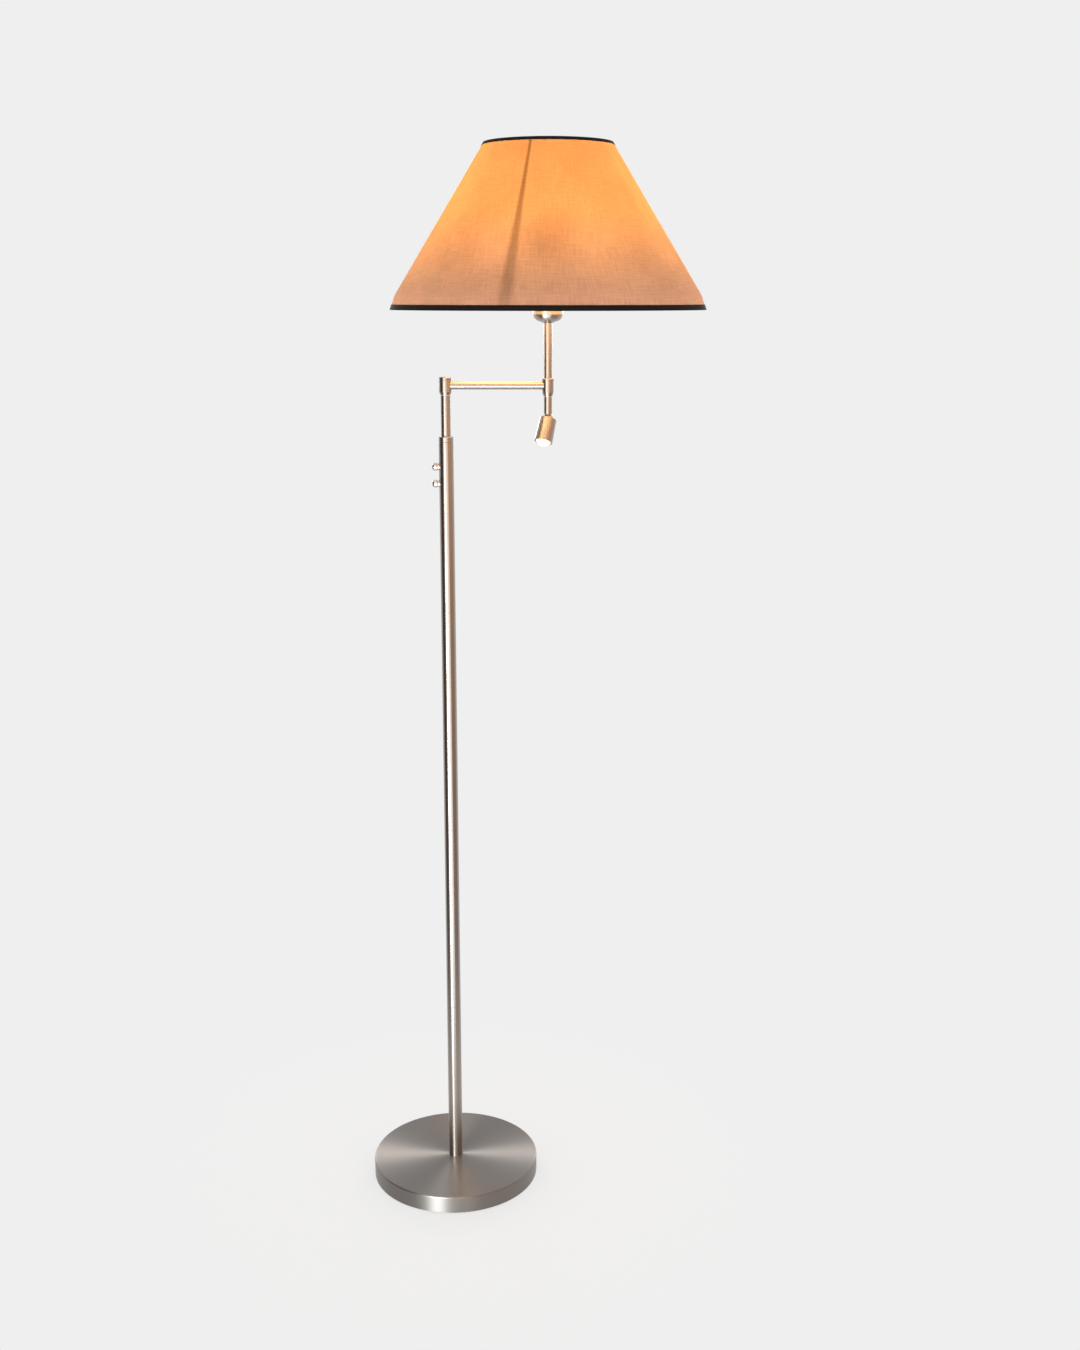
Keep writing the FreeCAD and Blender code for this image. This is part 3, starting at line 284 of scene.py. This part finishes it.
clothLook = {
    "faceLow": "a08a7c",       # the cloth's face near the bottom rim, painted as if lit only by daylight
    "faceHigh": "9a6c3c",      # and painted warmer and darker higher up: painted lamplight
    "throughLow": "fbf2f4",    # what the lamp's light becomes in it, low and high; the warmer high colour is painted lamplight
    "throughHigh": "ffe8c0",
    "paintedGlowFrom": 1.370,         # m above the floor, where the painted lamplight's warmer colours start and are complete
    "paintedGlowTo": 1.530,
    "soak": 0.50,              # shares of the light that the cloth scatters through, and lets straight through
    "straight": 0.28,
    "lapShadowFrom": 1.38,           # m; the lap's strip is painted darker high up, near the bulb, than at the rim: painted shadow over the double layer
    "lapShadowTo": 1.54,
    "lapShadowLow": 0.80,
    "lapShadowHigh": 0.52,
    "threadSpacing": 1.9,      # mm; the real threads lie 0.5 mm apart, drawn this coarse to show
    "slubLength": 26.0,        # mm along a thick place in a thread
    "weaveShades": (0.86, 1.10),
    "blotchShades": (0.95, 1.05),
}


def laminatedCloth(name, look):
    # plain-woven cotton laminated on film, lit from behind: uneven threads show as fine light and dark
    # streaks. Its colours run from the rim up as a painted mix of daylight cloth and lamplit cloth: painted
    # lamplight that grows warmer with height
    material, tree, output = newMaterial(name)
    flat = addNode(tree, "ShaderNodeUVMap", {"uv_map": "cloth"})
    threads = []
    warpAndWeft = ((look["threadSpacing"], look["slubLength"]), (look["slubLength"], look["threadSpacing"]))
    for across, along in warpAndWeft:
        stretch = addNode(tree, "ShaderNodeMapping", inputs={"Vector": flat.outputs["UV"],
                                                            "Scale": (1000 / across, 1000 / along, 1)})
        threads.append(addNode(tree, "ShaderNodeTexNoise", inputs={
            "Vector": stretch.outputs["Vector"], "Scale": 1.0, "Detail": 2.0, "Roughness": 0.65}))
    weave = addNode(tree, "ShaderNodeMath", {"operation": "ADD"}, {0: threads[0].outputs["Fac"],
                                                                  1: threads[1].outputs["Fac"]})
    blotch = addNode(tree, "ShaderNodeTexNoise", inputs={"Vector": flat.outputs["UV"], "Scale": 14.0,
                                                        "Detail": 2.0})
    depth = addNode(tree, "ShaderNodeMapRange", inputs={
        "Value": weave.outputs["Value"], "From Min": 0.7, "From Max": 1.3,
        "To Min": look["weaveShades"][0], "To Max": look["weaveShades"][1]})
    uneven = addNode(tree, "ShaderNodeMapRange", inputs={
        "Value": blotch.outputs["Fac"], "From Min": 0.3, "From Max": 0.7,
        "To Min": look["blotchShades"][0], "To Max": look["blotchShades"][1]})
    density = addNode(tree, "ShaderNodeMath", {"operation": "MULTIPLY"}, {0: depth.outputs["Result"],
                                                                         1: uneven.outputs["Result"]})
    # where the sheet's two ends overlap, the light comes through two layers; the strip widens downwards into a
    # soft band that is partly painted shadow
    away = addNode(tree, "ShaderNodeAttribute", {"attribute_name": "fromSeam"})
    half = addNode(tree, "ShaderNodeAttribute", {"attribute_name": "seamShadowHalf"})
    ratio = addNode(tree, "ShaderNodeMath", {"operation": "DIVIDE"}, {0: away.outputs["Fac"],
                                                                     1: half.outputs["Fac"]})
    place = addNode(tree, "ShaderNodeTexCoord")
    parts = addNode(tree, "ShaderNodeSeparateXYZ", inputs={0: place.outputs["Object"]})
    # painted shadow: the strip's darkness is the double layer's own, with painted shadow in its widening and
    # high up
    lapShadow = addNode(tree, "ShaderNodeMapRange", inputs={"Value": parts.outputs["Z"], "From Min": look["lapShadowFrom"],
                                                     "From Max": look["lapShadowTo"], "To Min": look["lapShadowLow"],
                                                     "To Max": look["lapShadowHigh"]})
    single = addNode(tree, "ShaderNodeMapRange", {"interpolation_type": "SMOOTHSTEP"},
                     {"Value": ratio.outputs["Value"], "From Min": 0.25, "From Max": 1.35,
                      "To Min": lapShadow.outputs["Result"], "To Max": 1.0})
    passed = addNode(tree, "ShaderNodeMath", {"operation": "MULTIPLY"}, {0: density.outputs["Value"],
                                                                        1: single.outputs["Result"]})
    # painted lamplight: the face and through colours turn warmer and darker with height
    paintedGlow = addNode(tree, "ShaderNodeMapRange", {"interpolation_type": "SMOOTHSTEP"},
                   {"Value": parts.outputs["Z"], "From Min": look["paintedGlowFrom"], "From Max": look["paintedGlowTo"]})
    tints = []
    for low, high in (("faceLow", "faceHigh"), ("throughLow", "throughHigh")):
        blend = addNode(tree, "ShaderNodeMix", {"data_type": "RGBA"})
        blend.inputs[6].default_value = colour(look[low])
        blend.inputs[7].default_value = colour(look[high])
        tree.links.new(paintedGlow.outputs["Result"], blend.inputs[0])
        tints.append(addNode(tree, "ShaderNodeVectorMath", {"operation": "SCALE"},
                             {0: blend.outputs[2], "Scale": passed.outputs["Value"]}))
    relief = addNode(tree, "ShaderNodeBump", inputs={"Height": weave.outputs["Value"], "Strength": 0.35,
                                                    "Distance": mm(0.3)})
    surface = addNode(tree, "ShaderNodeBsdfDiffuse", inputs={"Color": tints[0].outputs[0], "Roughness": 0.6,
                                                            "Normal": relief.outputs["Normal"]})
    glow = addNode(tree, "ShaderNodeBsdfTranslucent", inputs={"Color": tints[1].outputs[0],
                                                             "Normal": relief.outputs["Normal"]})
    ahead = addNode(tree, "ShaderNodeBsdfRefraction", inputs={"Color": tints[1].outputs[0], "Roughness": 1.0,
                                                             "IOR": 1.25, "Normal": relief.outputs["Normal"]})
    soft = addNode(tree, "ShaderNodeMixShader", inputs={0: look["soak"], 1: surface.outputs[0],
                                                       2: glow.outputs[0]})
    mix = addNode(tree, "ShaderNodeMixShader", inputs={0: look["straight"], 1: soft.outputs[0],
                                                      2: ahead.outputs[0]})
    tree.links.new(mix.outputs[0], output.inputs["Surface"])
    return material


def clearAdhesive(name):
    # the clear adhesive that holds the cloth on its film: lets the light through
    material, tree, output = newMaterial(name)
    clear = addNode(tree, "ShaderNodeBsdfTransparent", inputs={"Color": (0.96, 0.94, 0.9, 1)})
    place = addNode(tree, "ShaderNodeTexCoord")
    haze = addNode(tree, "ShaderNodeTexNoise", inputs={"Vector": place.outputs["Object"], "Scale": 200.0})
    gloss = addNode(tree, "ShaderNodeBsdfDiffuse", inputs={"Color": (0.8, 0.76, 0.7, 1)})
    share = addNode(tree, "ShaderNodeMapRange", inputs={"Value": haze.outputs["Fac"], "To Min": 0.02,
                                                       "To Max": 0.06})
    mix = addNode(tree, "ShaderNodeMixShader", inputs={0: share.outputs["Result"], 1: clear.outputs[0],
                                                      2: gloss.outputs[0]})
    tree.links.new(mix.outputs[0], output.inputs["Surface"])
    return material


tapeLook = {
    "colour": "0e0a08",
    "ribSpacing": 1.5,        # mm; the real ribs are half this, drawn this coarse to show
}


def bindingTape(name, look):
    # black ribbed binding tape: nearly black, painted a little brown where the rib pattern is high, a painted
    # highlight where the light catches the ribs
    material, tree, output = newMaterial(name)
    place = addNode(tree, "ShaderNodeTexCoord")
    ribs = addNode(tree, "ShaderNodeTexNoise", inputs={"Vector": place.outputs["Object"],
                                                      "Scale": 1000 / look["ribSpacing"] / 2, "Detail": 2.0})
    bump = addNode(tree, "ShaderNodeBump", inputs={"Height": ribs.outputs["Fac"], "Strength": 0.5,
                                                  "Distance": mm(0.3)})
    # painted highlight: a lighter colour where the rib pattern is high
    tint = mottled(tree, look["colour"], 0.6, 1.6, ribs.outputs["Fac"])
    shader = addNode(tree, "ShaderNodeBsdfPrincipled", inputs={
        "Base Color": tint.outputs[2], "Roughness": 0.8, "Sheen Weight": 0.03, "Specular IOR Level": 0.15,
        "Normal": bump.outputs["Normal"]})
    tree.links.new(shader.outputs["BSDF"], output.inputs["Surface"])
    return material


finishes = {name: plainFinish(name, look) for name, look in plainLooks.items()}
for name, look in litGlassLooks.items():
    finishes[name] = litGlass(name, look)
finishes["satinNickel"] = satinNickel("satinNickel", satinNickelLook, "Z")
finishes["satinNickelArm"] = satinNickel("satinNickelArm", satinNickelLook, "X")
finishes["turnedSteel"] = turnedSteel("turnedSteel", turnedSteelLook)
finishes["backingFilm"] = backingFilm("backingFilm", linerLook)
finishes["laminatedCloth"] = laminatedCloth("laminatedCloth", clothLook)
finishes["clearAdhesive"] = clearAdhesive("clearAdhesive")
finishes["bindingTape"] = bindingTape("bindingTape", tapeLook)

finishOfSlot = {
    "turned_satin_steel": "turnedSteel",
    "cast_weight": "castIron",
    "foam_pad": "foamRubber",
    "zinc_fastener": "zincPlate",
    "black_rubber": "blackRubber",
    "turned_steel_fitting": "machinedSteel",
    "satin_nickel_tube": "satinNickel",
    "satin_nickel_fitting": "satinNickel",
    "satin_nickel_spot": "satinNickel",
    "threaded_steel": "zincPlate",
    "friction_washer": "naturalNylon",
    "dimmer_case": "bakelite",
    "chromed_dial": "chromePlate",
    "dial_shaft": "machinedSteel",
    "lampholder_black": "bakelite",
    "shade_nut_black": "bakelite",
    "brass_contact": "pressedBrass",
    "bulb_cap_metal": "rolledAluminium",
    "opal_glass": "opalGlass",
    "white_wire": "whitePowderCoat",
    "shade_liner": "backingFilm",
    "shade_cloth": "laminatedCloth",
    "black_tape": "bindingTape",
    "seat_plastic": "whiteAcetal",
    "heat_sink_metal": "rolledAluminium",
    "lamp_board": "solderMask",
    "reflector_metal": "brightReflector",
    "lens_glass": "frostedLens",
}
for entry in frame["record"]["subparts"]:
    node = frame["nodes"][entry["node"]]
    node.data.materials.clear()
    node.data.materials.append(finishes[finishOfSlot[entry["material_slot"]]])
frame["nodes"]["arm_tube"].data.materials[0] = finishes["satinNickelArm"]
print("finishes given to the frame")


# the shade, in millimetres round its own axis, apart from its centre in metres

shadeSize = {
    "centre": (0.150, 0.0, 0.0),
    "bottom": 1380.0,
    "knee": 1400.0,
    "top": 1610.0,
    "bottomRadius": 228.0,
    "kneeRadius": 221.5,
    "topRadius": 92.0,
    "trim": 0.6,
    "glue": 0.15,
    "cloth": 0.6,
    "steps": 192,
    "rings": 24,              # rings of faces up the cone
    "seamAt": -105.0,         # degrees round the axis
    "seamTop": 2.2,           # half the width of the darkened strip at the top and at the bottom: the double layer, widened at the bottom by painted shadow
    "seamBottom": 13.0,
    "seamFlare": 1.6,         # how late the strip, with its painted shadow, widens on its way down
    "meanRadius": 160.0,      # turns an angle into a length of cloth
    "slopeLength": 1.17,      # length of cloth for each length of height
    "bottomStrip": 7.5,       # heights of the two tapes outside, and inside the rim
    "bottomInside": 4.5,
    "bottomLip": 218.6,       # radius of each tape's inner strip
    "topStrip": 4.5,
    "topInside": 4.2,
    "topLip": 86.0,
    "cornerIn": 0.3,          # the slanting corner at the foot of the bottom tape
    "cornerUp": 0.5,
    "tapeRounding": 0.2,
    "sharpAngle": 0.6,        # radians past which an edge of the tape is rounded
}


def shadeRadius(size, height):
    # radius of the shade's outer line at a height
    if height < size["knee"]:
        part = (height - size["bottom"]) / (size["knee"] - size["bottom"])
        return size["bottomRadius"] + part * (size["kneeRadius"] - size["bottomRadius"])
    part = (height - size["knee"]) / (size["top"] - size["knee"])
    return size["kneeRadius"] + part * (size["topRadius"] - size["kneeRadius"])


def makeCloth(size):
    low = size["bottom"] + size["trim"] + size["glue"]
    high = size["top"] - size["trim"] - size["glue"]
    inset = size["trim"] + size["glue"]
    # closer rings at the knee, where the wall bends
    kneeTop = size["knee"] + 1.5
    levels = [low, size["bottom"] + 6, size["bottom"] + 13, size["knee"] - 1.5, kneeTop]
    levels += [kneeTop + (high - kneeTop) * i / size["rings"] for i in range(1, size["rings"] + 1)]
    outer = [(shadeRadius(size, z) - inset, z) for z in levels]
    inner = [(r - size["cloth"], z) for r, z in reversed(outer)]
    bm = spinProfile(outer + inner, size["centre"], size["steps"])
    # the cloth's own flat measure in metres: round the shade, and up its slope
    layer = bm.loops.layers.uv.new("cloth")
    fromSeam = bm.verts.layers.float.new("fromSeam")
    seamShadowHalf = bm.verts.layers.float.new("seamShadowHalf")
    cx = size["centre"][0]
    for vert in bm.verts:
        height = vert.co.z * 1000
        turn = math.degrees(math.atan2(vert.co.y, vert.co.x - cx)) - size["seamAt"]
        turn = (turn + 180) % 360 - 180
        part = (size["top"] - height) / (size["top"] - size["bottom"])
        # half width of the darkened strip: the double layer, widening downwards with its painted shadow
        vert[seamShadowHalf] = size["seamTop"] + part ** size["seamFlare"] * (size["seamBottom"] - size["seamTop"])
        vert[fromSeam] = abs(turn) * math.pi / 180 * shadeRadius(size, height)
    for face in bm.faces:
        middle = face.calc_center_median()
        facing = math.atan2(middle.y, middle.x - cx)
        outward = Vector((middle.x - cx, middle.y, 0)).normalized()
        face.material_index = 0 if face.normal.dot(outward) > 0 else 1     # cloth outside, adhesive inside
        for loop in face.loops:
            turn = math.atan2(loop.vert.co.y, loop.vert.co.x - cx)
            while turn - facing > math.pi:
                turn -= math.tau
            while turn - facing < -math.pi:
                turn += math.tau
            loop[layer].uv = (turn * mm(size["meanRadius"]), loop.vert.co.z * size["slopeLength"])
    cloth = finishPiece(bm, "shadeCloth", "head", [finishes["laminatedCloth"], finishes["clearAdhesive"]])
    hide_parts("shade_fabric")
    return cloth


def makeTape(size, name, node, profile):
    bm = spinProfile(profile, size["centre"], size["steps"])
    sharp = [e for e in bm.edges if len(e.link_faces) == 2 and e.calc_face_angle() > size["sharpAngle"]]
    bmesh.ops.bevel(bm, geom=sharp, offset=mm(size["tapeRounding"]), affect="EDGES", segments=2, profile=0.5,
                    material=-1)
    tape = finishPiece(bm, name, "head", [finishes["bindingTape"]])
    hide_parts(node)
    return tape


def makeShade(size):
    cloth = makeCloth(size)
    slope = (size["bottomRadius"] - size["kneeRadius"]) / (size["knee"] - size["bottom"])
    cone = (size["kneeRadius"] - size["topRadius"]) / (size["top"] - size["knee"])
    tape = size["trim"]
    # each tape: an outer strip on the wall, a fold round the rim, and a shorter strip inside
    low, rim, lip = size["bottom"], size["bottomRadius"], size["bottomLip"]
    strip, inside = size["bottomStrip"], size["bottomInside"]
    bottomTape = makeTape(size, "bottomTape", "bottom_trim", [
        (lip - tape, low), (rim - size["cornerIn"], low), (rim, low + size["cornerUp"]),
        (rim - strip * slope, low + strip), (rim - strip * slope - tape, low + strip),
        (rim - tape - tape * slope, low + tape), (lip, low + tape), (lip, low + inside),
        (lip - tape, low + inside)])
    high, rim, lip = size["top"], size["topRadius"], size["topLip"]
    strip, inside = size["topStrip"], size["topInside"]
    topTape = makeTape(size, "topTape", "top_trim", [
        (rim, high), (lip - tape, high), (lip - tape, high - inside), (lip, high - inside), (lip, high - tape),
        (rim - tape + tape * cone, high - tape), (rim - tape + strip * cone, high - strip),
        (rim + strip * cone, high - strip)])


makeShade(shadeSize)
print("shade made")


# camera, lamps, floor

cameraSize = {
    "place": (0.1384, -2.3230, 1.3958),    # m, fitted to the photo together with the pitch and the lens
    "pitch": 13.52,           # degrees down from level
    "lens": 41.75,            # mm, on a full frame sensor
    "sensor": 36.0,
    "farthest": 100.0,
}


def makeCamera(size):
    data = bpy.data.cameras.new("camera")
    data.lens = size["lens"]
    data.sensor_width = size["sensor"]
    data.clip_end = size["farthest"]
    camera = bpy.data.objects.new("camera", data)
    camera.location = size["place"]
    camera.rotation_euler = (math.radians(90 - size["pitch"]), 0, 0)
    bpy.context.scene.collection.objects.link(camera)
    bpy.context.scene.camera = camera


lightSize = {
    "bulbPlace": (0.150, 0.0, 1.4695),     # m, the middle of the bulb
    "bulbRadius": 0.028,
    "bulbPower": 1.05,
    "bulbColour": "ffc790",
    "downPlace": (0.150, 0.0, 1.378),      # the lamp's light that leaves the open bottom of the shade
    "downWidth": 0.30,
    "downPower": 1.1,
    "downColour": "ffd494",
    "rimPlace": (1.45, 3.3, 1.55),         # behind, on the right; its twin stands on the left
    "rimWidth": 0.6,
    "rimPower": 21.0,
    "rimColour": "fff8f4",
    "backdrop": "efefef",     # the plain pale room
}

cardSize = {
    "radius": 1.7,            # m, the softbox and the dim cards that the metal reflects
    "foot": -1.6,             # below the floor, because the pole's downward reflections end there
    "top": 2.6,
    "reach": 104.0,           # degrees either way from straight ahead
    "boxFrom": -42.0,         # degrees, the softbox between the cards
    "boxTo": 27.0,
    "softEdge": 4.0,
    "steps": 52,
    # light of the left card, then of the right card and the box at rising heights
    "left": (0.09, 0.06, 0.045, 1),
    "right": ((-0.9, (0.26, 0.26, 0.28, 1)), (0.3, (0.45, 0.33, 0.26, 1)), (1.1, (1.0, 0.62, 0.42, 1))),
    "box": ((-0.9, (2.9, 3.0, 3.15, 1)), (0.3, (2.4, 2.32, 2.3, 1)), (1.0, (2.1, 1.9, 1.7, 1)),
            (1.35, (2.0, 1.35, 0.95, 1))),
    "lowPlace": (-0.58, -1.54, 0.26),      # m, a small bright card near the floor, for the edge of the base
    "lowWidth": 0.46,
    "lowLight": (52.0, 58.0, 61.0, 1),
}


def addLamp(name, kind, place, target, power, hexText, width):
    # a lamp aimed at a point; width is a square lamp's side or a round one's radius
    data = bpy.data.lights.new(name, kind)
    data.energy = power
    data.color = colour(hexText)[:3]
    if kind == "AREA":
        data.shape = "SQUARE"
        data.size = width
    else:
        data.shadow_soft_size = width
    lamp = bpy.data.objects.new(name, data)
    lamp.location = place
    lamp.rotation_euler = (Vector(target) - Vector(place)).to_track_quat("-Z", "Y").to_euler()
    bpy.context.scene.collection.objects.link(lamp)
    return lamp


def makeLights(size):
    floorBelow = (size["bulbPlace"][0], size["bulbPlace"][1], 0.0)
    bulb = addLamp("bulbLight", "POINT", size["bulbPlace"], floorBelow, size["bulbPower"], size["bulbColour"],
                   size["bulbRadius"])
    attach(bulb, "head")
    below = addLamp("downLight", "AREA", size["downPlace"], floorBelow, size["downPower"], size["downColour"],
                    size["downWidth"])
    below.visible_camera = False
    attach(below, "head")
    # two soft lamps behind, left and right, that draw the bright fans on the turned base
    across, back, up = size["rimPlace"]
    for side in (-1, 1):
        rim = addLamp("rimLight", "AREA", (side * across, back, up), (0.0, 0.0, 0.0), size["rimPower"],
                      size["rimColour"], size["rimWidth"])
        rim.visible_camera = False
    # the bulb's light has to reach the cloth through the glass and the film
    for name in ("bulb_glass", "shade_liner"):
        frame["nodes"][name].visible_shadow = False


def makeWorld(size):
    # plain pale light from all round, and the same pale ground to the picture
    world = bpy.data.worlds.new("studio")
    world.use_nodes = True
    bpy.context.scene.world = world
    tree = world.node_tree
    tree.nodes.clear()
    output = addNode(tree, "ShaderNodeOutputWorld")
    light = addNode(tree, "ShaderNodeBackground", inputs={"Color": colour(size["backdrop"]), "Strength": 1.0})
    tree.links.new(light.outputs[0], output.inputs["Surface"])


def heightRamp(tree, size, height, stops):
    # a light that changes with height
    span = size["top"] - size["foot"]
    ramp = addNode(tree, "ShaderNodeValToRGB")
    while len(ramp.color_ramp.elements) < len(stops):
        ramp.color_ramp.elements.new(0.5)
    for element, (level, tint) in zip(ramp.color_ramp.elements, stops):
        element.position = (level - size["foot"]) / span
        element.color = tint
    tree.links.new(height, ramp.inputs["Fac"])
    return ramp.outputs["Color"]


def cardLight(size):
    # a bright box in front between a dim card on the left and a warmer one on the right
    material, tree, output = newMaterial("cardLight")
    place = addNode(tree, "ShaderNodeTexCoord")
    parts = addNode(tree, "ShaderNodeSeparateXYZ", inputs={0: place.outputs["Object"]})
    ahead = addNode(tree, "ShaderNodeMath", {"operation": "MULTIPLY"}, {0: parts.outputs["Y"], 1: -1.0})
    angle = addNode(tree, "ShaderNodeMath", {"operation": "ARCTAN2"}, {0: parts.outputs["X"],
                                                                      1: ahead.outputs["Value"]})
    level = addNode(tree, "ShaderNodeMapRange", inputs={"Value": parts.outputs["Z"], "From Min": size["foot"],
                                                       "From Max": size["top"]})
    edges = []
    for where in (size["boxFrom"], size["boxTo"]):
        edges.append(addNode(tree, "ShaderNodeMapRange", {"interpolation_type": "SMOOTHSTEP"}, {
            "Value": angle.outputs["Value"], "From Min": math.radians(where - size["softEdge"]),
            "From Max": math.radians(where + size["softEdge"])}))
    frontal = addNode(tree, "ShaderNodeMix", {"data_type": "RGBA"}, {0: edges[0].outputs["Result"]})
    frontal.inputs[6].default_value = size["left"]
    tree.links.new(heightRamp(tree, size, level.outputs["Result"], size["box"]), frontal.inputs[7])
    whole = addNode(tree, "ShaderNodeMix", {"data_type": "RGBA"}, {0: edges[1].outputs["Result"]})
    tree.links.new(frontal.outputs[2], whole.inputs[6])
    tree.links.new(heightRamp(tree, size, level.outputs["Result"], size["right"]), whole.inputs[7])
    glow = addNode(tree, "ShaderNodeEmission", inputs={"Color": whole.outputs[2], "Strength": 1.0})
    tree.links.new(glow.outputs[0], output.inputs["Surface"])
    return material


def standCard(bm, name, material):
    # a card on stage that only reflections show
    card = toObject(bm, name, [material])
    card.visible_camera = False
    card.visible_diffuse = False
    card.visible_transmission = False
    card.visible_shadow = False


def makeCards(size):
    # a softbox between two dim cards, standing in front of the lamp, and a small bright one low down
    bm = bmesh.new()
    reach = math.radians(size["reach"])
    start = Vector((-math.sin(reach), -math.cos(reach), 0)) * size["radius"]
    low = bm.verts.new(start + Vector((0, 0, size["foot"])))
    high = bm.verts.new(start + Vector((0, 0, size["top"])))
    edge = bm.edges.new((low, high))
    bmesh.ops.spin(bm, geom=[low, high, edge], cent=(0, 0, 0), axis=(0, 0, 1), angle=2 * reach,
                   steps=size["steps"])
    standCard(bm, "cards", cardLight(size))

    bm = bmesh.new()
    bmesh.ops.create_grid(bm, x_segments=1, y_segments=1, size=size["lowWidth"] / 2)
    place = Vector(size["lowPlace"])
    turn = (Vector((0, 0, 0)) - place).to_track_quat("Z", "Y").to_matrix().to_4x4()
    bmesh.ops.transform(bm, matrix=Matrix.Translation(place) @ turn, verts=bm.verts)
    material, tree, output = newMaterial("lowCardLight")
    glow = addNode(tree, "ShaderNodeEmission", inputs={"Color": size["lowLight"], "Strength": 1.0})
    tree.links.new(glow.outputs[0], output.inputs["Surface"])
    standCard(bm, "lowCard", material)


floorLook = {
    "radius": 0.62,           # m; past it the pale ground of the picture goes on
    "colour": "f4f4f4",
    "shown": "efefef",
    "lift": 0.78,             # share of plain pale ground under the lamp, which rises to all of it at the rim
    "from": 0.28,             # m from the pole where it starts to rise
    "margin": 0.01,
    "segments": 96,
}


def makeFloor(look):
    # matt pale floor that keeps the lamp's shadow and runs out into the backdrop
    bm = bmesh.new()
    bmesh.ops.create_circle(bm, cap_ends=True, segments=look["segments"], radius=look["radius"])
    material, tree, output = newMaterial("floorPaint")
    face = addNode(tree, "ShaderNodeBsdfDiffuse", inputs={"Color": colour(look["colour"])})
    white = addNode(tree, "ShaderNodeEmission", inputs={"Color": colour(look["shown"]), "Strength": 1.0})
    place = addNode(tree, "ShaderNodeTexCoord")
    away = addNode(tree, "ShaderNodeVectorMath", {"operation": "LENGTH"}, {0: place.outputs["Object"]})
    fade = addNode(tree, "ShaderNodeMapRange", {"interpolation_type": "SMOOTHSTEP"},
                   {"Value": away.outputs["Value"], "From Min": look["from"],
                    "From Max": look["radius"] - look["margin"], "To Min": look["lift"], "To Max": 1.0})
    path = addNode(tree, "ShaderNodeLightPath")
    seen = path.outputs["Is Camera Ray"]
    for ray in ("Is Glossy Ray", "Is Transmission Ray"):
        either = addNode(tree, "ShaderNodeMath", {"operation": "MAXIMUM"}, {0: seen, 1: path.outputs[ray]})
        seen = either.outputs["Value"]
    share = addNode(tree, "ShaderNodeMath", {"operation": "MULTIPLY"}, {0: seen, 1: fade.outputs["Result"]})
    mix = addNode(tree, "ShaderNodeMixShader", inputs={0: share.outputs[0], 1: face.outputs[0],
                                                      2: white.outputs[0]})
    tree.links.new(mix.outputs[0], output.inputs["Surface"])
    floor = toObject(bm, "floor", [material])


makeCamera(cameraSize)
makeLights(lightSize)
makeWorld(lightSize)
makeCards(cardSize)
makeFloor(floorLook)
bpy.context.scene.view_settings.view_transform = "Standard"
print("camera, lamps and floor made")
